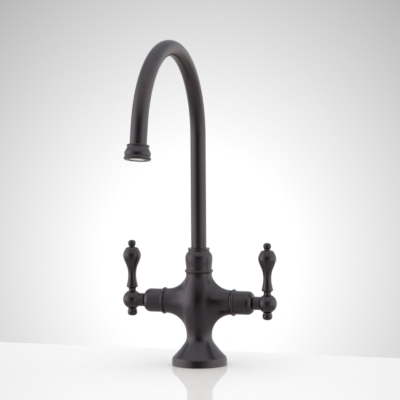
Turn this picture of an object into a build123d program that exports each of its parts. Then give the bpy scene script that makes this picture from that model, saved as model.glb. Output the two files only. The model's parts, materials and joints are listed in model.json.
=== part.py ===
"""Two-handle kitchen faucet with a swivelling gooseneck spout, in millimetres.

The origin is the centre of the foot's underside, on the body's vertical axis.  +Z is up,
the spout reaches forward to -Y, and the two lever handles sit to the left (-X) and the
right (+X).  It stands as in use at rest: both levers upright, which is shut, and the spout
straight forward.

A cast body carries everything.  Each arm holds a quarter-turn ceramic cartridge under a
domed bonnet.  Water comes up through two ports in the block under the foot, passes the
discs, meets in the mixing bore and leaves through the spout and the aerator.
"""
import math
import os

from build123d import *

# ---- fits and clearances -------------------------------------------------------------
running_gap = 0.06        # radial gap of a shaft that turns in its bore
thread_gap = 0.10         # radial gap between screwed threads, drawn as plain cylinders
seat_gap = 0.02           # radial gap of a piece pushed or glued into its seat
clearance = 0.35          # radial gap where a turning piece passes a hole
face_gap = 0.02           # film between two faces that slide on each other
past = 1.0                # how far a cut runs past the face that it opens

# ---- spout -----------------------------------------------------------------------------
tube_diameter = 19.4
tube_wall = 1.2
tube_swell = 0.35         # how much the tube's radius grows along the bend
bend_radius = 110.95      # centre line of the gooseneck
bend_height = 290.2       # centre of the gooseneck above the deck
bend_angle = 168.5        # how far round the gooseneck goes, in degrees
outlet_leg = 23.3         # straight tube after the bend, down to the aerator housing

# ---- cast body -------------------------------------------------------------------------
arm_height = 80.6         # axis of both arms above the deck
trunk_belly_radius = 24.6
trunk_neck_radius = 16.3
trunk_neck_rise = 32.7    # from the arms' axis up to the neck
trunk_neck_lean = 18.0    # slope of the trunk's side where it meets the neck, in degrees
waist_radius = 16.1
waist_drop = 43.95        # from the arms' axis down to the waist
arm_radius = 15.6
arm_flare_radius = 72.0   # curve of the arm's side where it widens towards the trunk
arm_flare_start = 38.0    # distance from the trunk's axis where the arm starts to widen
arm_reach = 42.8          # end face of the arm, from the trunk's axis
web_radius = 28.0         # round corner between trunk and arms
neck_band = 4.9           # turned band at the top of the neck
neck_overhang = 0.2       # how far that band stands out from the trunk
neck_lap = 1.2            # how far it laps down over the end of the trunk's curve

foot_radius = 35.0
foot_band = 7.4           # height of the upright band around the foot
foot_ledge = 0.5          # step at the top of the band
foot_ledge_height = 0.3
foot_shoulder = 4.4       # rounded shoulder above the step
foot_flare_slope = 45.0   # slope of the foot's cone, in degrees
foot_swell_radius = 20.3  # the foot's side between waist and shoulder
foot_swell_drop = 10.9    # below the waist
foot_wall = 5.4           # metal around the hollow under the foot
recess_depth = 6.0        # straight part of that hollow
pocket_height = 17.5      # lower edge of the block's pocket, above the deck

gasket_width = 2.6
gasket_depth = 2.0
gasket_inset = 1.4        # from the foot's edge to the gasket

# ---- inlet block and waterways ------------------------------------------------------------
block_radius = 14.0
block_height = 10.5
port_offset = 7.0         # each hose port from the middle, to the side
port_forward = 2.5        # and forward
port_radius = 4.5         # M10 x 1 thread, core
port_depth = 8.0
stud_offset = 8.2         # stud hole from the middle, to the back
stud_radius = 3.4         # M8 thread, core
stud_depth = 9.0
channel_radius = 3.25     # rising waterways
seat_drill_radius = 3.5   # from a rising waterway out to its valve seat
outlet_drill_radius = 2.8
outlet_drill_rise = 9.2   # outlet drilling above the arms' axis
mixing_radius = 5.0
mixing_wall = 2.6         # metal between the seat drilling and the mixing bore

# ---- spout socket and collar -----------------------------------------------------------
plug_step = 0.4           # ferrule's plug beyond the tube
plug_length = 22.0
plug_end_gap = 1.0        # under the plug, down to the socket's floor
cup_wall = 2.6            # ferrule's cup around the tube
cup_height = 7.0
cup_floor = 1.5
ferrule_bore_radius = 6.6
spigot_wall = 2.6
spigot_height = 9.3       # threaded spigot above the neck
washer_thickness = 1.0
bush_height = 6.0
collar_gasket = 0.5       # thin gasket under the collar
bonnet_gasket = 0.8       # and under each bonnet
gasket_recess = 0.9       # how far those gaskets sit in from the metal
oring_cord = 0.9          # radius of an O-ring's cord
oring_side_gap = 0.2

collar_foot_wall = 3.4    # radii of the collar's outline, each beyond its bore
collar_bead_wall = 5.1
collar_belly_wall = 4.4
collar_shoulder_wall = 3.45
collar_throat_wall = 3.45 # beyond the collar's hole
collar_groove_wall = 2.65
collar_rim_wall = 3.75
collar_bead_rise = 2.2    # middle of the bead above the collar's foot
collar_bead_half = 2.0
collar_belly_rise = 15.7  # each next station above the one before it
collar_shoulder_rise = 5.2
collar_throat_rise = 4.35
collar_groove_height = 1.0
collar_rim_height = 2.9

# ---- bonnets ---------------------------------------------------------------------------
bonnet_radius = 14.9
bonnet_wall = 3.3
bonnet_length = 28.6
bonnet_bead_radius = 17.0
bonnet_bead_width = 4.2
bonnet_bead_setback = 0.2
bonnet_dome = 8.0         # round shoulder at the bonnet's outer end
bonnet_end_wall = 4.0

# ---- cartridges ----------------------------------------------------------------------------
seat_depth = 16.8         # floor of the arm's bore, from the arm's end face
thread_radius = 10.2      # bore in the arm
thread_setback = 0.3      # from the ring-shaped waterway to the thread
gallery_radius = 12.2     # ring-shaped waterway around the cartridge
gallery_offset = 3.5      # from the bore's floor to that waterway
gallery_length = 7.0
seal_thickness = 2.2
seal_radius = 8.4
seal_margin = 1.0         # from the seat drilling to the seal's hole
cartridge_neck_radius = 8.6
cartridge_flange_height = 4.8
cartridge_barrel_radius = 8.5
cartridge_barrel_length = 9.0
disc_radius = 7.3
disc_thickness = 2.2
disc_port_radius = 5.8    # outer side of the ways through the discs
disc_port_width = 5.5
disc_bridge = 1.0         # ceramic left between the two ways
driver_thickness = 3.0
driver_width = 7.0
chamber_end_gap = 0.5
window_width = 8.0
stem_radius = 4.2
stem_tip_radius = 4.0
clip_thickness = 1.0
clip_radius = 5.6
clip_groove = 0.9         # how deep the clip sits in the stem
stem_oring_cord = 0.6
stem_oring_setback = 7.0  # from the barrel's end
stem_end_wall = 2.4       # metal between the stem's end and the lever's tang
stem_end_gap = 0.5

# ---- handles ----------------------------------------------------------------------------
hub_ball_radius = 12.0
sleeve_radius = 8.4
sleeve_gap = 1.2          # between the bonnet and the sleeve
sleeve_length = 16.5      # from there to the centre of the ball
tang_radius = 2.4         # threaded end of the lever, through the ball
tang_length = 4.0         # beyond the ball, into the finial
tang_end_gap = 0.5
screw_radius = 2.0        # grub screw that grips the stem
screw_socket = 1.1

lever_foot_radius = 4.7
lever_cuff_radius = 5.9   # where the ring starts
lever_ring_radius = 7.2
lever_grip_radius = 5.15
lever_swell_radius = 6.5
lever_hip_radius = 9.5
lever_belly_radius = 11.4
lever_rim_radius = 8.1
lever_tip_neck_radius = 3.95
lever_knob_radius = 5.0
lever_foot_lap = 0.4      # how far the lever's foot reaches into the ball's outline
lever_ring_rise = 5.9     # the ring above the ball, then each station above the one before it
lever_ring_height = 2.2
lever_cuff_height = 1.0
lever_grip_rise = 13.2
lever_swell_rise = 10.6
lever_hip_rise = 7.5
lever_belly_rise = 6.9
lever_rim_rise = 9.4
lever_rim_bevel = 1.3
lever_rim_height = 1.8    # from the rim up to the foot of the tip's neck
lever_tip_rise = 3.6      # narrowest place under the knob
lever_knob_height = 7.4

finial_length = 8.9       # below the ball
finial_belly_rise = 5.3   # its widest place above its underside
finial_radius = 6.3
finial_neck_radius = 5.5
finial_neck_length = 1.1  # below the ball
finial_seat = 0.8         # how deep it sits in the ball

# ---- aerator ------------------------------------------------------------------------------
housing_collar_radius = 12.6
housing_rim_radius = 13.35
housing_bell_radius = 15.45
housing_throat_radius = 14.8
housing_lip_radius = 15.8
housing_lip_bulge = 0.2
housing_lip_round = 0.9
housing_rim = 2.2         # lengths from the top of the housing down to its mouth
housing_bell = 7.6
housing_throat = 3.8
housing_step = 1.6
housing_lip = 2.4
tube_socket_depth = 7.5
housing_shelf = 1.5
insert_radius = 11.0
insert_setback = 0.3
insert_floor = 2.0
insert_hole_radius = 6.3
washer_height = 1.5
screen_radius = 8.8
screen_thickness = 0.8
screen_setback = 0.3
screen_pitch = 2.0
screen_margin = 1.4       # solid rim around the holes, from their centres
screen_hole_radius = 0.45

# ---- worked out from the sizes above ------------------------------------------------------
tube_radius = tube_diameter / 2
leg_radius = tube_radius + tube_swell
neck_top = arm_height + trunk_neck_rise + neck_band - neck_lap
neck_radius = trunk_neck_radius + neck_overhang
plug_radius = tube_radius + plug_step
socket_radius = plug_radius + running_gap
spigot_radius = socket_radius + spigot_wall
spigot_top = neck_top + spigot_height
cup_base = spigot_top + washer_thickness + face_gap
cup_top = cup_base + cup_height
collar_foot = neck_top + collar_gasket
collar_bore_radius = spigot_radius + thread_gap
collar_hole_radius = tube_radius + clearance
collar_height = (collar_bead_rise + collar_belly_rise + collar_shoulder_rise + collar_throat_rise
                 + collar_groove_height + collar_rim_height)
collar_top = collar_foot + collar_height
bush_base = cup_top + face_gap
bush_top = bush_base + bush_height
socket_floor = cup_base - plug_length - plug_end_gap

bonnet_foot = arm_reach + bonnet_gasket
bonnet_end = bonnet_foot + bonnet_length
bonnet_bore_radius = bonnet_radius - bonnet_wall
flange_radius = bonnet_bore_radius - thread_gap
seat_reach = arm_reach - seat_depth
gallery_start = seat_reach + gallery_offset
seal_end = seat_reach + seal_thickness
discs_start = seal_end
disc_gap_place = discs_start + disc_thickness
driver_start = disc_gap_place + face_gap + disc_thickness
driver_end = driver_start + driver_thickness
chamber_end = driver_end + chamber_end_gap
chamber_radius = disc_radius + thread_gap
barrel_start = arm_reach + cartridge_flange_height
barrel_end = barrel_start + cartridge_barrel_length
sleeve_start = bonnet_end + sleeve_gap
hub_reach = sleeve_start + sleeve_length
stem_end = hub_reach - tang_radius - stem_end_wall
housing_length = housing_rim + housing_bell + housing_throat + housing_step + housing_lip


def turned(*outline):
    """A solid of revolution about Z; the outline's x is the radius and its y the height."""
    return revolve(Plane.XZ * make_face(list(outline)), Axis.Z)


def rod(radius, low, high):
    """A plain cylinder about Z."""
    return Pos(0, 0, low) * Cylinder(radius, high - low, align=(Align.CENTER, Align.CENTER, Align.MIN))


def ring(inner, outer, low, high):
    """A plain ring about Z."""
    return rod(outer, low, high) - rod(inner, low - past, high + past)


def oring(seat_radius, cord, height):
    """A round rubber ring whose inside rests on seat_radius."""
    return Pos(0, 0, height) * Torus(seat_radius + cord, cord)


def beside(side):
    """The frame of one arm: its z runs out along the arm and its x points up."""
    return Plane(origin=(0, 0, arm_height), x_dir=(0, 0, 1), z_dir=(side, 0, 0))


def cubic(start, end, share, end_slope):
    """Radius at a share of the way from a level start to an end with the given slope."""
    change = end - start
    cube = end_slope - 2 * change
    return start + (change - cube) * share**2 + cube * share**3


# ---- body -----------------------------------------------------------------------------------
def trunk():
    """The vase between waist and neck, run on past both so that the web has room."""
    lean = math.tan(math.radians(trunk_neck_lean))
    shares = (0.25, 0.5, 0.75)
    below = [(cubic(trunk_belly_radius, waist_radius, s, 0), arm_height - waist_drop * s)
             for s in reversed(shares)]
    above = [(cubic(trunk_belly_radius, trunk_neck_radius, s, -lean * trunk_neck_rise),
              arm_height + trunk_neck_rise * s) for s in shares]
    low = (waist_radius, arm_height - waist_drop)
    high = (trunk_neck_radius, arm_height + trunk_neck_rise)
    run = web_radius / 2
    side = Spline(low, *below, (trunk_belly_radius, arm_height), *above, high,
                  tangents=[(0, 1), (-lean, 1)])
    stem_low = (low[0], low[1] - run)
    stem_high = (high[0] - lean * run, high[1] + run)
    rest = Polyline(high, stem_high, (0, stem_high[1]), (0, stem_low[1]), stem_low, low)
    return Rot(0, 0, 90) * turned(side, rest)


def arm_horn(side):
    """One arm, which widens towards the trunk."""
    def flared(reach):
        return arm_radius + arm_flare_radius - math.sqrt(arm_flare_radius**2 - (arm_flare_start - reach)**2)
    root = trunk_belly_radius * 0.4     # well inside the trunk
    middle = (root + arm_flare_start) / 2
    flare = ThreePointArc((flared(root), root), (flared(middle), middle), (arm_radius, arm_flare_start))
    rest = Polyline((arm_radius, arm_flare_start), (arm_radius, arm_reach), (0, arm_reach), (0, root),
                    (flared(root), root))
    return beside(side) * turned(flare, rest)


def foot():
    """The flared foot below the waist."""
    waist = (waist_radius, arm_height - waist_drop)
    ledge_radius = foot_radius - foot_ledge
    slope = math.radians(foot_flare_slope)
    shoulder_low = (ledge_radius, foot_band + foot_ledge_height)
    shoulder_high = (ledge_radius - foot_shoulder * (1 - math.sin(slope)),
                     shoulder_low[1] + foot_shoulder * math.cos(slope))
    shoulder_mid = (ledge_radius - foot_shoulder * (1 - math.cos(slope / 2)),
                    shoulder_low[1] + foot_shoulder * math.sin(slope / 2))
    swell = (foot_swell_radius, waist[1] - foot_swell_drop)
    flare = Spline(waist, swell, shoulder_high, tangents=[(0, -1), (math.cos(slope), -math.sin(slope))])
    rest = Polyline(shoulder_low, (ledge_radius, foot_band), (foot_radius, foot_band),
                    (foot_radius, 0), (0, 0), (0, waist[1]), waist)
    return turned(flare, ThreePointArc(shoulder_high, shoulder_mid, shoulder_low), rest)


def arm_waterways(side):
    """Cartridge bore, seat drilling and outlet drilling of one arm."""
    bore = rod(thread_radius, seat_reach, arm_reach + past)
    gallery = rod(gallery_radius, gallery_start, gallery_start + gallery_length)
    seat = rod(seat_drill_radius, port_offset, seat_reach + past)
    outlet = Pos(outlet_drill_rise, 0, 0) * rod(outlet_drill_radius, 0, gallery_start + gallery_length / 2)
    return beside(side) * (bore + gallery + seat + outlet)


def body_casting():
    outside = trunk() + arm_horn(1) + arm_horn(-1)
    webs = [edge for edge in outside.edges()
            if edge.geom_type == GeomType.BSPLINE
            and edge.bounding_box().size.Y > arm_radius
            and edge.bounding_box().size.Z > arm_radius]
    outside = fillet(webs, web_radius)
    waist_height = arm_height - waist_drop
    neck_base = neck_top - neck_band
    trunk_height = neck_base + neck_lap / 2 - waist_height
    outside &= Pos(0, 0, waist_height) * Box(4 * arm_reach, 4 * arm_reach, trunk_height,
                                             align=(Align.CENTER, Align.CENTER, Align.MIN))
    outside += foot() + rod(neck_radius, neck_base, neck_top) + rod(spigot_radius, neck_top, spigot_top)

    recess_radius = foot_radius - foot_wall
    pocket_radius = block_radius + seat_gap
    pocket_roof = pocket_height + block_height
    hollow = turned(Polyline((0, -past), (recess_radius, -past), (recess_radius, recess_depth),
                             (pocket_radius, pocket_height), (pocket_radius, pocket_roof),
                             (0, pocket_roof), (0, -past)))
    groove_outer = foot_radius - gasket_inset
    groove = ring(groove_outer - gasket_width, groove_outer, -past, gasket_depth)
    mixing_floor = arm_height + seat_drill_radius + mixing_wall
    cuts = hollow + groove + rod(socket_radius, socket_floor, spigot_top + past)
    cuts += rod(mixing_radius, mixing_floor, socket_floor + past)
    for side in (-1, 1):
        riser = rod(channel_radius, pocket_roof - past, arm_height + past)
        cuts += Pos(side * port_offset, -port_forward, 0) * riser
        cuts += arm_waterways(side)
    return outside - cuts


def base_gasket():
    outer = foot_radius - gasket_inset
    return ring(outer - gasket_width, outer, 0, gasket_depth)


def inlet_block():
    """Brass block under the foot with two hose ports and the hole of the fixing stud."""
    low, high = pocket_height, pocket_height + block_height
    block = rod(block_radius, low, high)
    for side in (-1, 1):
        port = rod(port_radius, low - past, low + port_depth) + rod(channel_radius, low, high + past)
        block -= Pos(side * port_offset, -port_forward, 0) * port
    return block - Pos(0, stud_offset, 0) * rod(stud_radius, low - past, low + stud_depth)


def spout_collar():
    bore, hole, foot_z = collar_bore_radius, collar_hole_radius, collar_foot
    bead_z = foot_z + collar_bead_rise
    foot_r = bore + collar_foot_wall
    bead_low, bead_high = (foot_r, bead_z - collar_bead_half), (foot_r, bead_z + collar_bead_half)
    belly = (bore + collar_belly_wall, bead_z + collar_belly_rise)
    shoulder = (bore + collar_shoulder_wall, belly[1] + collar_shoulder_rise)
    throat = (hole + collar_throat_wall, shoulder[1] + collar_throat_rise)
    groove_r, groove_top = hole + collar_groove_wall, throat[1] + collar_groove_height
    rim_low = (hole + collar_throat_wall, groove_top)
    rim_middle = (hole + collar_rim_wall, (groove_top + collar_top) / 2)
    rim_top = (hole + collar_throat_wall, collar_top)
    return turned(
        Polyline((bore, foot_z), (foot_r, foot_z), bead_low),
        ThreePointArc(bead_low, (bore + collar_bead_wall, bead_z), bead_high),
        Spline(bead_high, belly, shoulder, throat, tangents=[(0, 1), (-0.35, 1)]),
        Polyline(throat, (groove_r, throat[1]), (groove_r, groove_top), rim_low),
        ThreePointArc(rim_low, rim_middle, rim_top),
        Polyline(rim_top, (hole, collar_top), (hole, bush_top), (bore, bush_top), (bore, foot_z)))


def bonnet(side):
    """Domed cover screwed over the cartridge, with a bead around its foot."""
    bead_low = bonnet_foot + bonnet_bead_setback
    bead_high = bead_low + bonnet_bead_width
    dome_start = bonnet_end - bonnet_dome
    cover_radius = bonnet_radius - bonnet_dome
    diagonal = bonnet_dome * math.sqrt(0.5)
    hole = stem_radius + 2 * clearance
    inside_end = bonnet_end - bonnet_end_wall
    return beside(side) * turned(
        Polyline((bonnet_bore_radius, bonnet_foot), (bonnet_radius, bonnet_foot), (bonnet_radius, bead_low)),
        ThreePointArc((bonnet_radius, bead_low), (bonnet_bead_radius, (bead_low + bead_high) / 2),
                      (bonnet_radius, bead_high)),
        Line((bonnet_radius, bead_high), (bonnet_radius, dome_start)),
        ThreePointArc((bonnet_radius, dome_start), (cover_radius + diagonal, dome_start + diagonal),
                      (cover_radius, bonnet_end)),
        Polyline((cover_radius, bonnet_end), (hole, bonnet_end), (hole, inside_end),
                 (bonnet_bore_radius - bonnet_dome / 2, inside_end),
                 (bonnet_bore_radius, inside_end - bonnet_dome / 2), (bonnet_bore_radius, bonnet_foot)))


# ---- cartridge pieces -------------------------------------------------------------------------
def cartridge_body(side):
    neck_start = seal_end
    thread_start = gallery_start + gallery_length + thread_setback
    shell = rod(cartridge_neck_radius, neck_start, thread_start)
    shell += rod(thread_radius - thread_gap, thread_start, arm_reach)
    shell += rod(flange_radius, arm_reach, barrel_start)
    shell += rod(cartridge_barrel_radius, barrel_start, barrel_end)
    shell -= rod(chamber_radius, neck_start - past, chamber_end)
    shell -= rod(stem_radius + running_gap, chamber_end - past, barrel_end + past)
    window = Box(window_width, 4 * cartridge_neck_radius, driver_thickness)
    shell -= Pos(0, 0, (driver_start + driver_end) / 2) * window
    return beside(side) * shell


def seat_seal(side):
    return beside(side) * ring(seat_drill_radius + seal_margin, seal_radius, seat_reach, seal_end)


def disc_ways(low):
    """The pair of ways through a ceramic disc, one on each side of a bridge."""
    height = disc_thickness + 2 * past
    slot = Box(2 * disc_port_radius, disc_port_width, height) - Box(disc_bridge, disc_port_width, height)
    return Pos(0, 0, low + disc_thickness / 2) * (slot & Cylinder(disc_port_radius, height))


def fixed_disc(side):
    disc = rod(disc_radius, discs_start, disc_gap_place)
    return beside(side) * (disc - disc_ways(discs_start))


def moving_disc(side):
    """Stands a quarter turn round from the fixed disc, so that the valve is shut."""
    low = disc_gap_place + face_gap
    disc = rod(disc_radius, low, driver_start)
    return beside(side) * (disc - Rot(0, 0, 90) * disc_ways(low))


def cartridge_stem(side):
    flat_sides = Box(4 * disc_radius, driver_width, 2 * driver_thickness)
    driver = rod(disc_radius, driver_start, driver_end)
    driver &= Pos(0, 0, (driver_start + driver_end) / 2) * flat_sides
    shaft = rod(stem_radius, driver_start, barrel_end + 2 * clip_thickness)
    shaft += rod(stem_tip_radius, barrel_end, stem_end)
    seal_place = barrel_end - stem_oring_setback
    groove_half = stem_oring_cord + oring_side_gap / 2
    groove_floor = stem_radius - 2 * stem_oring_cord + running_gap / 2
    shaft -= ring(groove_floor, 2 * stem_radius, seal_place - groove_half, seal_place + groove_half)
    clip_low = barrel_end + face_gap
    shaft -= ring(stem_radius - clip_groove, 2 * stem_radius, clip_low, clip_low + clip_thickness)
    return beside(side) * (driver + shaft)


def stem_oring(side):
    groove_floor = stem_radius - 2 * stem_oring_cord + running_gap / 2
    return beside(side) * oring(groove_floor, stem_oring_cord, barrel_end - stem_oring_setback)


def stem_clip(side):
    low = barrel_end + face_gap
    clip = ring(stem_radius - clip_groove, clip_radius, low, low + clip_thickness)
    gap = Pos(0, -clip_radius, low) * Box(clip_radius, 2 * clip_radius, 4 * clip_thickness)
    return beside(side) * (clip - gap)


# ---- handle pieces ----------------------------------------------------------------------------
def handle_hub(side):
    """Ball with the sleeve that fits over the stem."""
    arm, ball = beside(side), Pos(side * hub_reach, 0, arm_height)
    hub = arm * (rod(sleeve_radius, sleeve_start, hub_reach) + Pos(0, 0, hub_reach) * Sphere(hub_ball_radius))
    hub -= arm * rod(stem_tip_radius + seat_gap, sleeve_start - past, stem_end + stem_end_gap)
    hub -= ball * rod(tang_radius + seat_gap, -hub_ball_radius - past, hub_ball_radius + past)
    hub -= ball * rod(finial_neck_radius + seat_gap, -hub_ball_radius - past, finial_seat - hub_ball_radius)
    screw_hole = rod(screw_radius + seat_gap, -sleeve_radius - past, -stem_tip_radius)
    return hub - Pos(side * screw_reach(), 0, arm_height) * screw_hole


def screw_reach():
    """Place of the grub screw along the arm: the middle of the sleeve's free length."""
    ball_edge = hub_reach - math.sqrt(hub_ball_radius**2 - sleeve_radius**2)
    return (sleeve_start + ball_edge) / 2


def set_screw(side):
    low = -math.sqrt(sleeve_radius**2 - screw_radius**2)
    screw = rod(screw_radius, low, -stem_tip_radius)
    socket = Pos(0, 0, low) * extrude(RegularPolygon(screw_socket, 6), screw_radius, both=True)
    return Pos(side * screw_reach(), 0, arm_height) * (screw - socket)


def lever(side):
    """Turned lever: a tang through the ball, a slender grip, a pear-shaped belly and a knob."""
    foot_z = math.sqrt(hub_ball_radius**2 - lever_foot_radius**2) - lever_foot_lap
    ring_z = hub_ball_radius + lever_ring_rise
    cuff_z = ring_z - lever_ring_height
    grip_z = ring_z + lever_grip_rise
    swell_z = grip_z + lever_swell_rise
    hip_z = swell_z + lever_hip_rise
    belly_z = hip_z + lever_belly_rise
    rim_z = belly_z + lever_rim_rise
    tip_z = rim_z + lever_tip_rise
    top_z = tip_z + lever_knob_height
    tang_z = -(hub_ball_radius + tang_length)

    foot = (lever_foot_radius, foot_z)
    cuff = (lever_cuff_radius, cuff_z)
    ring_edge = (lever_ring_radius, ring_z)
    rim = (lever_rim_radius, rim_z)
    tip = (lever_tip_neck_radius, tip_z)
    knob = (lever_knob_radius, tip_z + lever_knob_height / 2)
    body = turned(
        Polyline((0, tang_z), (tang_radius, tang_z), (tang_radius, foot_z), foot,
                 (lever_foot_radius, cuff_z - lever_cuff_height), cuff),
        ThreePointArc(cuff, (lever_ring_radius, (cuff_z + ring_z) / 2), ring_edge),
        Spline(ring_edge, (lever_grip_radius, grip_z), (lever_swell_radius, swell_z),
               (lever_hip_radius, hip_z), (lever_belly_radius, belly_z), rim,
               tangents=[(-0.25, 1), (-0.62, 1)]),
        Polyline(rim, (lever_rim_radius - lever_rim_bevel, rim_z + lever_rim_bevel),
                 (lever_tip_neck_radius, rim_z + lever_rim_height), tip),
        Spline(tip, knob, (0, top_z), tangents=[(0.6, 1), (-1, 0)]),
        Line((0, top_z), (0, tang_z)))
    ball_room = Sphere(hub_ball_radius) - rod(tang_radius, -hub_ball_radius, hub_ball_radius)
    return Pos(side * hub_reach, 0, arm_height) * (body - ball_room)


def finial(side):
    """Ball nut on the end of the tang, under the hub."""
    low = -hub_ball_radius - finial_length
    neck_low = -hub_ball_radius - finial_neck_length
    neck_high = finial_seat - hub_ball_radius
    neck = (finial_neck_radius, neck_low)
    nut = turned(
        Spline((0, low), (finial_radius, low + finial_belly_rise), neck, tangents=[(1, 0), (-0.7, 1)]),
        Polyline(neck, (finial_neck_radius, neck_high), (0, neck_high), (0, low)))
    tang_hole = rod(tang_radius + seat_gap, -hub_ball_radius - tang_length - tang_end_gap, 0)
    return Pos(side * hub_reach, 0, arm_height) * (nut - tang_hole)


# ---- spout pieces -------------------------------------------------------------------------------
def bend_frame(degrees):
    """Frame on the gooseneck's centre line after that much bend: its z runs along the tube."""
    turn = math.radians(degrees)
    place = (0, -bend_radius * (1 - math.cos(turn)), bend_height + bend_radius * math.sin(turn))
    return Plane(origin=place, x_dir=(1, 0, 0), z_dir=(0, -math.sin(turn), math.cos(turn)))


def outlet_frame():
    """Frame at the top of the aerator housing: its z runs down the outlet, its x is +X."""
    return bend_frame(bend_angle).offset(outlet_leg)


def spout_tube():
    """Straight riser, a bend that widens a little, and the straight leg down to the outlet."""
    low = cup_base + cup_floor
    start, middle, end = (bend_frame(degrees) for degrees in (0, bend_angle / 2, bend_angle))
    path = ThreePointArc(start.origin, middle.origin, end.origin)

    def filled(inset):
        bend_ends = [start * Circle(tube_radius - inset), end * Circle(leg_radius - inset)]
        solid = rod(tube_radius - inset, low, bend_height)
        solid += sweep(bend_ends, path=path, multisection=True)
        return solid + end * rod(leg_radius - inset, 0, outlet_leg + tube_socket_depth)
    return filled(0) - filled(tube_wall)


def spout_ferrule():
    """Brazed to the foot of the tube; its plug turns in the body's socket."""
    plug_low = cup_base - plug_length
    ferrule = rod(plug_radius, plug_low, cup_base) + rod(tube_radius + cup_wall, cup_base, cup_top)
    ferrule -= rod(ferrule_bore_radius, plug_low - past, cup_top + past)
    ferrule -= rod(tube_radius + seat_gap, cup_base + cup_floor, cup_top + past)
    for height in ferrule_seal_heights():
        half = oring_cord + oring_side_gap / 2
        ferrule -= ring(ferrule_groove_radius(), 2 * plug_radius, height - half, height + half)
    return ferrule


def ferrule_groove_radius():
    return socket_radius - face_gap - 2 * oring_cord


def ferrule_seal_heights():
    """Two O-rings, at a third and two thirds of the plug."""
    return [cup_base - plug_length * share for share in (2 / 3, 1 / 3)]


def aerator_housing():
    """Bell-shaped housing; its heights run down from its top to its mouth."""
    rim_end = housing_rim
    bell_z = rim_end + housing_bell
    throat_z = bell_z + housing_throat
    lip_z = throat_z + housing_step
    top, rim_low = (housing_collar_radius, 0), (housing_collar_radius, rim_end)
    throat = (housing_throat_radius, throat_z)
    lip_top = (housing_lip_radius, lip_z)
    lip_low = (housing_lip_radius, housing_length - housing_lip_round)
    lip_middle = (housing_lip_radius + housing_lip_bulge, (lip_z + lip_low[1]) / 2)
    mouth = (housing_lip_radius - housing_lip_round, housing_length)
    shell = turned(
        Line((0, 0), top),
        ThreePointArc(top, (housing_rim_radius, rim_end / 2), rim_low),
        Spline(rim_low, (housing_bell_radius, bell_z), throat, tangents=[(0.15, 1), (-0.4, 1)]),
        Line(throat, lip_top),
        ThreePointArc(lip_top, lip_middle, lip_low),
        Polyline(lip_low, mouth, (0, housing_length), (0, 0)))
    shell -= rod(leg_radius + seat_gap, -past, tube_socket_depth)
    shell -= rod(leg_radius - tube_wall, 0, housing_length)
    shell -= rod(insert_radius + thread_gap, tube_socket_depth + housing_shelf, housing_length + past)
    return outlet_frame() * shell


def aerator_washer():
    low = tube_socket_depth + housing_shelf
    return outlet_frame() * ring(leg_radius - tube_wall, insert_radius, low, low + washer_height)


def aerator_insert():
    """Metal shell of the aerator, a cup whose open end faces out and holds the screen."""
    low = tube_socket_depth + housing_shelf + washer_height
    high = housing_length - insert_setback
    cup = rod(insert_radius, low, high) - rod(screen_radius + seat_gap, low + insert_floor, high + past)
    return outlet_frame() * (cup - rod(insert_hole_radius, low - past, high))


def aerator_screen():
    high = housing_length - insert_setback - screen_setback
    low = high - screen_thickness
    hole = rod(screen_hole_radius, low - past, high + past)
    return outlet_frame() * (rod(screen_radius, low, high) - [Pos(x, y, 0) * hole for x, y in screen_holes()])


def screen_holes():
    """Centres of a hexagonal pattern of holes that fits inside the screen."""
    rows = int(screen_radius / screen_pitch) + 1
    places = []
    for row in range(-rows, rows + 1):
        for column in range(-rows, rows + 1):
            x = (column + (row % 2) / 2) * screen_pitch
            y = row * screen_pitch * math.sqrt(3) / 2
            if math.hypot(x, y) < screen_radius - screen_margin:
                places.append((x, y))
    return places


def save(name, shape):
    export_step(shape, f"parts/{name}.step")


def main():
    os.makedirs("parts", exist_ok=True)
    save("body_casting", body_casting())
    save("base_gasket", base_gasket())
    save("inlet_block", inlet_block())
    gasket = ring(spigot_radius + thread_gap, neck_radius - gasket_recess, neck_top, collar_foot)
    save("collar_gasket", gasket)
    save("spout_collar", spout_collar())
    save("thrust_washer", ring(socket_radius, spigot_radius, spigot_top, spigot_top + washer_thickness))
    save("swivel_bush", ring(tube_radius + running_gap, collar_bore_radius - seat_gap, bush_base, bush_top))
    save("spout_tube", spout_tube())
    save("spout_ferrule", spout_ferrule())
    seals = [oring(ferrule_groove_radius(), oring_cord, height) for height in ferrule_seal_heights()]
    save("ferrule_orings", Compound(seals))
    save("aerator_housing", aerator_housing())
    save("aerator_washer", aerator_washer())
    save("aerator_insert", aerator_insert())
    save("aerator_screen", aerator_screen())
    one_side = {
        "bonnet": bonnet, "cartridge_body": cartridge_body, "seat_seal": seat_seal,
        "fixed_disc": fixed_disc, "moving_disc": moving_disc, "cartridge_stem": cartridge_stem,
        "stem_oring": stem_oring, "stem_clip": stem_clip, "handle_hub": handle_hub,
        "lever": lever, "finial": finial, "set_screw": set_screw}
    for word, side in (("left", -1), ("right", 1)):
        gasket = ring(bonnet_bore_radius, arm_radius - gasket_recess, arm_reach, bonnet_foot)
        save(f"{word}_bonnet_gasket", beside(side) * gasket)
        for name, make in one_side.items():
            save(f"{word}_{name}", make(side))


main()
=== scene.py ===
import json
from math import cos, radians, sin

import bpy
from mathutils import Matrix, Vector

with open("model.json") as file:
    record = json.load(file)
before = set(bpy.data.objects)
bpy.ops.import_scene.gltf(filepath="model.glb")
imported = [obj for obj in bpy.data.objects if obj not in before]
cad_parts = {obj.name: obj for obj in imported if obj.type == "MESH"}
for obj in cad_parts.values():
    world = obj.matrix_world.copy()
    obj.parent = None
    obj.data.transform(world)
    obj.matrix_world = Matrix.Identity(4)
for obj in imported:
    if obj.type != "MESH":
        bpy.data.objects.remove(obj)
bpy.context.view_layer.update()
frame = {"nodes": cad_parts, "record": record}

MM = 0.001

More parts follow.
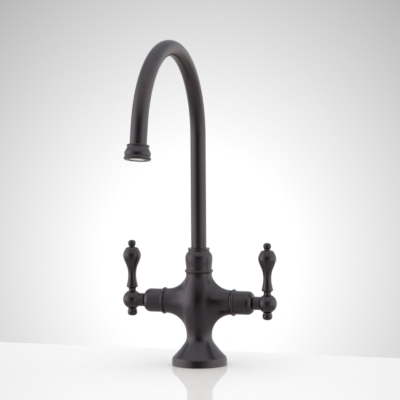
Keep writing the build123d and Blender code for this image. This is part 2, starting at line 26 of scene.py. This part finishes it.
# ---------------------------------------------------------------- camera, fitted to the photograph
camera_azimuth = radians(17.923)      # the camera stands this far round to the object's right
camera_pitch = radians(4.217)         # and looks down by this much
camera_roll = radians(-0.405)
camera_distance = 2531.55 * MM        # from the spout's axis, level
camera_height = 396.213 * MM
camera_slide = 1.952 * MM             # to its own right
focal_pixels = 2009.884               # focal length in pixels of the photograph
image_pixels = 400
sensor_width = 36.0
clip_range = (0.05, 100)

up = Vector((0, 0, 1))
level_right = Vector((cos(camera_azimuth), sin(camera_azimuth), 0))
level_back = Vector((sin(camera_azimuth), -cos(camera_azimuth), 0))   # from the object to the camera
view_direction = -cos(camera_pitch) * level_back - sin(camera_pitch) * up
level_up = level_right.cross(view_direction)
view_right = cos(camera_roll) * level_right + sin(camera_roll) * level_up
view_up = cos(camera_roll) * level_up - sin(camera_roll) * level_right


def make_camera():
    """The photograph's own viewpoint."""
    data = bpy.data.cameras.new("photo_camera")
    data.sensor_width = sensor_width
    data.lens = focal_pixels / image_pixels * sensor_width
    data.clip_start, data.clip_end = clip_range
    camera = bpy.data.objects.new("photo_camera", data)
    bpy.context.scene.collection.objects.link(camera)
    place = camera_distance * level_back + camera_slide * level_right + camera_height * up
    turn = Matrix((view_right, view_up, -view_direction)).transposed().to_4x4()
    camera.matrix_world = Matrix.Translation(place) @ turn
    bpy.context.scene.camera = camera


# ---------------------------------------------------------------- node trees
class Tree:
    """Adds nodes to a material's or the world's node tree. A socket given as a value is linked."""

    def __init__(self, owner):
        owner.use_nodes = True
        self.nodes = owner.node_tree.nodes
        self.links = owner.node_tree.links

    def put(self, value, socket):
        if isinstance(value, bpy.types.NodeSocket):
            self.links.new(value, socket)
        else:
            socket.default_value = value

    def add(self, kind, inputs=(), **settings):
        node = self.nodes.new("ShaderNode" + kind)
        for name, value in settings.items():
            setattr(node, name, value)
        for name, value in dict(inputs).items():
            self.put(value, node.inputs[name])
        return node

    def math(self, operation, *values):
        node = self.add("Math", operation=operation)
        for value, socket in zip(values, node.inputs):
            self.put(value, socket)
        return node.outputs[0]

    def dot(self, first, second):
        """The scalar product of two vectors."""
        node = self.add("VectorMath", operation="DOT_PRODUCT")
        self.put(first, node.inputs[0])
        self.put(second, node.inputs[1])
        return node.outputs["Value"]

    def span(self, value, low, high, to_low=0.0, to_high=1.0, smooth=True):
        """value taken from low..high to to_low..to_high, and held at the ends."""
        kind = "SMOOTHSTEP" if smooth else "LINEAR"
        node = self.add("MapRange", interpolation_type=kind)
        for given, socket in zip((value, low, high, to_low, to_high), node.inputs):
            self.put(given, socket)
        return node.outputs[0]

    def noise(self, place, size, detail=3.0, roughness=0.5):
        """Noise whose features are about that size, in metres."""
        inputs = {"Vector": place, "Scale": 1 / size, "Detail": detail, "Roughness": roughness}
        return self.add("TexNoise", inputs).outputs["Fac"]

    def blend(self, fac, first, second, mode="MIX"):
        """Two colours mixed by fac."""
        node = self.add("Mix", data_type="RGBA", blend_type=mode)
        sockets = {socket.identifier: socket for socket in (*node.inputs, *node.outputs)}
        for value, name in ((fac, "Factor_Float"), (first, "A_Color"), (second, "B_Color")):
            self.put(value, sockets[name])
        return sockets["Result_Color"]


def colour(red, green, blue):
    return (red, green, blue, 1.0)


# ---------------------------------------------------------------- world
backdrop_centre = -0.030             # the bright patch's height in the view, as a tangent
backdrop_widening = 1.12             # its rim darkens sooner to the sides
backdrop_tones = ((0.055, 1.0), (0.168, 0.49), (0.30, 0.62), (0.60, 0.85))

# Even light on matt surfaces, from overhead and from the horizon down
ceiling_light, floor_light = 1.3, 0.35

# The room that polished surfaces show. A height is the upright part of a direction's unit vector,
# from straight down (-1) to straight up (1). Its front is the camera's side.
room_tones = ((-1.0, 0.35), (-0.5, 0.37), (-0.2, 0.59), (0.15, 0.55), (0.5, 0.39), (1.0, 0.57))
back_gain, front_gain = 1.33, 0.67
# Bright patches: degrees to the right of the camera, degrees up, the cosines of the angles from
# there at which the patch begins and is full, and the tone that it adds
left_wall = (-92, 8, 0.665, 1.0, 0.60)
right_wall = (84, -12, 0.185, 0.87, 0.374)
bright_sweep = (180, 9, 0.994, 1.0, 0.45)
wall_heights = (-0.41, -0.02)        # the walls fade in between these heights
# The dark side behind the camera: how much it takes away, the degrees to the right of the camera
# between which its two upright edges fade, the lean of each edge in degrees per unit of height,
# and the heights between which its upper and lower edges fade
gloom_depth = 0.955
gloom_left, gloom_left_lean = (-44, -24), -5
gloom_right, gloom_right_lean = (-13, 71), -19
gloom_top = (0.39, 0.61)
gloom_bottom = (-1.04, 0.15)
# Tint at the back of the room: warm from below, cool from above
warm_light = colour(1.06, 1.00, 0.92)
cool_light = colour(0.93, 1.02, 1.05)
no_tint = colour(1, 1, 1)
tint_heights = (0.45, -0.35)         # from cool to warm
tint_depths = (0.1, -0.7)            # from the middle of the room to its back


def bearing_of(degrees_right, degrees_up):
    """The direction that far round to the right of the camera, as seen from the object."""
    turn, rise = radians(degrees_right), radians(degrees_up)
    level = cos(turn) * level_back + sin(turn) * level_right
    return cos(rise) * level + sin(rise) * up


def tone_ramp(tree, value, stops):
    """A grey that goes through (place, tone) stops."""
    ramp = tree.add("ValToRGB", {"Fac": value})
    elements = ramp.color_ramp.elements
    while len(elements) < len(stops):
        elements.new(1.0)
    for element, (place, tone) in zip(elements, stops):
        element.position = place
        element.color = colour(tone, tone, tone)
    return ramp.outputs["Color"]


def backdrop_tone(tree, way):
    """The white sweep behind the object, which falls off to grey round the picture."""
    across = tree.math("MULTIPLY", tree.dot(way, view_right), backdrop_widening)
    above = tree.math("SUBTRACT", tree.dot(way, view_up), backdrop_centre)
    squares = [tree.math("MULTIPLY", side, side) for side in (across, above)]
    return tone_ramp(tree, tree.math("SQRT", tree.math("ADD", *squares)), backdrop_tones)


def bright_patch(tree, way, degrees_right, degrees_up, begins, full, tone):
    """The tone that a patch of the room adds in a direction."""
    return tree.span(tree.dot(way, bearing_of(degrees_right, degrees_up)), begins, full, 0.0, tone)


def gloom(tree, height, bearing):
    """1 in the middle of the dark side behind the camera, and 0 outside it."""
    sides = []
    leans = ((gloom_left, gloom_left_lean, 0.0, 1.0), (gloom_right, gloom_right_lean, 1.0, 0.0))
    for (begins, ends), lean, to_low, to_high in leans:
        leaning = tree.math("MULTIPLY_ADD", height, radians(lean), bearing)
        sides.append(tree.span(leaning, radians(begins), radians(ends), to_low, to_high))
    top = tree.span(height, *gloom_top, 1.0, 0.0)
    bottom = tree.span(height, *gloom_bottom)
    shade = tree.math("MULTIPLY", *sides)
    return tree.math("MULTIPLY", tree.math("MULTIPLY", shade, top), bottom)


def room_colour(tree, way):
    """What polished surfaces show: bright walls left and right, and the dark side of the camera."""
    height = tree.dot(way, up)
    front = tree.dot(way, level_back)
    side = tree.dot(way, level_right)

    stops = [(0.5 + 0.5 * place, tone) for place, tone in room_tones]
    lit = tone_ramp(tree, tree.math("MULTIPLY_ADD", height, 0.5, 0.5), stops)
    gain = tree.span(front, -1.0, 1.0, back_gain, front_gain, smooth=False)
    lit = tree.math("MULTIPLY", lit, gain)
    walls = [bright_patch(tree, way, *wall) for wall in (left_wall, right_wall)]
    walls = tree.math("MULTIPLY", tree.math("ADD", *walls), tree.span(height, *wall_heights))
    lit = tree.math("ADD", lit, walls)
    lit = tree.math("ADD", lit, bright_patch(tree, way, *bright_sweep))

    dark = gloom(tree, height, tree.math("ARCTAN2", side, front))
    tone = tree.math("MULTIPLY", lit, tree.math("MULTIPLY_ADD", dark, -gloom_depth, 1.0))
    tint = tree.blend(tree.span(height, *tint_heights), cool_light, warm_light)
    tint = tree.blend(tree.span(front, *tint_depths), no_tint, tint)
    return tree.blend(1.0, tone, tint, mode="MULTIPLY")


def make_world():
    """The backdrop to the eye, the room in polished surfaces, and even light elsewhere."""
    world = bpy.data.worlds.new("studio")
    bpy.context.scene.world = world
    tree = Tree(world)
    way = tree.add("TexCoord").outputs["Generated"]
    path = tree.add("LightPath").outputs
    seen = tree.math("MAXIMUM", path["Is Camera Ray"], path["Is Transmission Ray"])
    height = tree.dot(way, up)
    soft = tree.span(height, 0.0, 1.0, floor_light, ceiling_light, smooth=False)
    shown = tree.blend(path["Is Glossy Ray"], soft, room_colour(tree, way))
    shown = tree.blend(seen, shown, backdrop_tone(tree, way))
    tree.put(shown, tree.nodes["Background"].inputs["Color"])


# ---------------------------------------------------------------- table top
table_back = 117.5 * MM              # the table's far edge behind the spout's axis
table_front = -2.2
table_half_width = 1.8
table_thickness = 30 * MM
table_paint = colour(0.975, 0.95, 0.94)
table_varnish = colour(0.92, 0.93, 1)
varnish_roughness = 0.04
table_shine = 0.20                   # share of the light that its varnish mirrors


def make_table():
    """A white table top with a faint mirror finish."""
    material = bpy.data.materials.new("table_top")
    tree = Tree(material)
    gloss = {"Color": table_varnish, "Roughness": varnish_roughness}
    mixed = tree.add("MixShader", {"Fac": table_shine})
    tree.put(tree.add("BsdfDiffuse", {"Color": table_paint}).outputs[0], mixed.inputs[1])
    tree.put(tree.add("BsdfGlossy", gloss).outputs[0], mixed.inputs[2])
    tree.put(mixed.outputs[0], tree.nodes["Material Output"].inputs["Surface"])
    corners = [
        (x, y, z)
        for x in (-table_half_width, table_half_width)
        for y in (table_front, table_back)
        for z in (-table_thickness, 0)
    ]
    faces = [(0, 1, 3, 2), (4, 6, 7, 5), (0, 4, 5, 1), (2, 3, 7, 6), (0, 2, 6, 4), (1, 5, 7, 3)]
    mesh = bpy.data.meshes.new("table")
    mesh.from_pydata(corners, [], faces)
    mesh.materials.append(material)
    table = bpy.data.objects.new("table", mesh)
    table.visible_glossy = False
    bpy.context.scene.collection.objects.link(table)


# ---------------------------------------------------------------- materials
wear_radius = 0.5 * MM               # how far from an edge its coat is rubbed
wear_turn = (0.995, 0.93)            # cosines of the turn there that begins to rub, and rubs fully
wear_size = 2.5 * MM                 # of the patches that break up the rubbed edges
wear_patches = (0.35, 0.62)


def new_material(name):
    """A material, its tree, its Principled shader and the coordinates fixed to the object."""
    material = bpy.data.materials.new(name)
    tree = Tree(material)
    place = tree.add("TexCoord").outputs["Object"]
    return material, tree, tree.nodes["Principled BSDF"], place


def surface(tree, shader, tone, rough, relief, strength, depth):
    """Sets colour and roughness, and embosses the surface by relief, to that depth in metres."""
    tree.put(tone, shader.inputs["Base Color"])
    tree.put(rough, shader.inputs["Roughness"])
    bump = tree.add("Bump", {"Strength": strength, "Distance": depth, "Height": relief})
    tree.put(bump.outputs[0], shader.inputs["Normal"])


def edge_wear(tree, place):
    """0 on open faces, up to 1 along edges, broken up by noise."""
    rounded = tree.add("Bevel", {"Radius": wear_radius}, samples=4).outputs[0]
    turned = tree.dot(rounded, tree.add("NewGeometry").outputs["Normal"])
    patches = tree.span(tree.noise(place, wear_size, 4), *wear_patches)
    return tree.math("MULTIPLY", tree.span(turned, *wear_turn), patches)


def dark_metal():
    """Satin, nearly black bronze coat, finely grained, with rubbed, coppery edges."""
    material, tree, shader, place = new_material("dark_metal_coat")
    plain, pale = colour(0.131, 0.115, 0.128), colour(0.143, 0.125, 0.139)
    dark, rubbed = colour(0.110, 0.095, 0.105), colour(0.36, 0.23, 0.16)
    cloudy = tree.noise(place, 32 * MM, 3)
    fine = tree.noise(place, 2.2 * MM, 5, 0.6)
    grain = tree.noise(place, 0.35 * MM, 2)
    wear = edge_wear(tree, place)
    tone = tree.blend(tree.span(cloudy, 0.3, 0.7), plain, pale)
    tone = tree.blend(tree.span(fine, 0.4, 0.75, 0.0, 0.25), tone, dark)
    tone = tree.blend(tree.math("MULTIPLY", wear, 0.8), tone, rubbed)
    rough = tree.span(cloudy, 0.3, 0.7, 0.28, 0.31)
    rough = tree.math("ADD", rough, tree.span(fine, 0.3, 0.7, -0.015, 0.02))
    rough = tree.math("SUBTRACT", rough, tree.math("MULTIPLY", wear, 0.05))
    relief = tree.math("MULTIPLY_ADD", grain, 0.5, fine)
    surface(tree, shader, tone, rough, relief, strength=0.12, depth=0.02 * MM)
    shader.inputs["Metallic"].default_value = 1.0
    return material


def black_rubber():
    """Moulded rubber with a dusty grain."""
    material, tree, shader, place = new_material("moulded_rubber")
    clean, dusty = colour(0.022, 0.022, 0.023), colour(0.045, 0.043, 0.041)
    dust = tree.noise(place, 9 * MM, 4)
    grain = tree.noise(place, 0.5 * MM, 2)
    tone = tree.blend(tree.span(dust, 0.4, 0.7), clean, dusty)
    rough = tree.span(dust, 0.3, 0.7, 0.62, 0.8)
    surface(tree, shader, tone, rough, grain, strength=0.4, depth=0.03 * MM)
    return material


def brass():
    """Machined brass with fine tool lines round the part's axis."""
    material, tree, shader, place = new_material("machined_brass")
    bright, stained = colour(0.74, 0.57, 0.30), colour(0.60, 0.43, 0.21)
    stain = tree.noise(place, 12 * MM, 4)
    waves = {"Vector": place, "Scale": 380.0, "Distortion": 1.2, "Detail": 2.0}
    lines = tree.add("TexWave", waves, bands_direction="Z").outputs["Fac"]
    tone = tree.blend(tree.span(stain, 0.35, 0.7), bright, stained)
    rough = tree.span(stain, 0.3, 0.7, 0.24, 0.4)
    surface(tree, shader, tone, rough, lines, strength=0.3, depth=0.03 * MM)
    shader.inputs["Metallic"].default_value = 1.0
    return material


def white_nylon():
    """Moulded nylon, cream and slightly translucent."""
    material, tree, shader, place = new_material("moulded_nylon")
    clean, limed = colour(0.94, 0.92, 0.86), colour(0.88, 0.84, 0.76)
    lime = tree.noise(place, 4 * MM, 4)
    tone = tree.blend(tree.span(lime, 0.45, 0.75), clean, limed)
    rough = tree.span(lime, 0.3, 0.7, 0.38, 0.55)
    surface(tree, shader, tone, rough, lime, strength=0.2, depth=0.05 * MM)
    shader.inputs["Subsurface Weight"].default_value = 0.15
    shader.inputs["Subsurface Scale"].default_value = 1.5 * MM
    return material


def ceramic():
    """Lapped alumina."""
    material, tree, shader, place = new_material("lapped_ceramic")
    white, grey = colour(0.88, 0.88, 0.86), colour(0.72, 0.71, 0.68)
    specks = tree.noise(place, 0.8 * MM, 3)
    tone = tree.blend(tree.span(specks, 0.6, 0.75), white, grey)
    rough = tree.span(specks, 0.3, 0.7, 0.12, 0.25)
    surface(tree, shader, tone, rough, specks, strength=0.1, depth=0.01 * MM)
    return material


def steel():
    """Plain steel with light handling marks."""
    material, tree, shader, place = new_material("plain_steel")
    clean, marked = colour(0.58, 0.58, 0.59), colour(0.42, 0.41, 0.40)
    marks = tree.noise(place, 3 * MM, 5, 0.65)
    tone = tree.blend(tree.span(marks, 0.4, 0.7), clean, marked)
    rough = tree.span(marks, 0.3, 0.7, 0.28, 0.45)
    surface(tree, shader, tone, rough, marks, strength=0.2, depth=0.01 * MM)
    shader.inputs["Metallic"].default_value = 1.0
    return material


def dress_nodes():
    """Gives each node the material of its slot in the record."""
    makers = (dark_metal, black_rubber, brass, white_nylon, ceramic, steel)
    materials = {maker.__name__: maker() for maker in makers}
    for part in frame["record"]["subparts"]:
        for slot in frame["nodes"][part["node"]].material_slots:
            slot.material = materials[part["material_slot"]]


bpy.context.scene.view_settings.view_transform = "Standard"
make_camera()
make_world()
make_table()
dress_nodes()
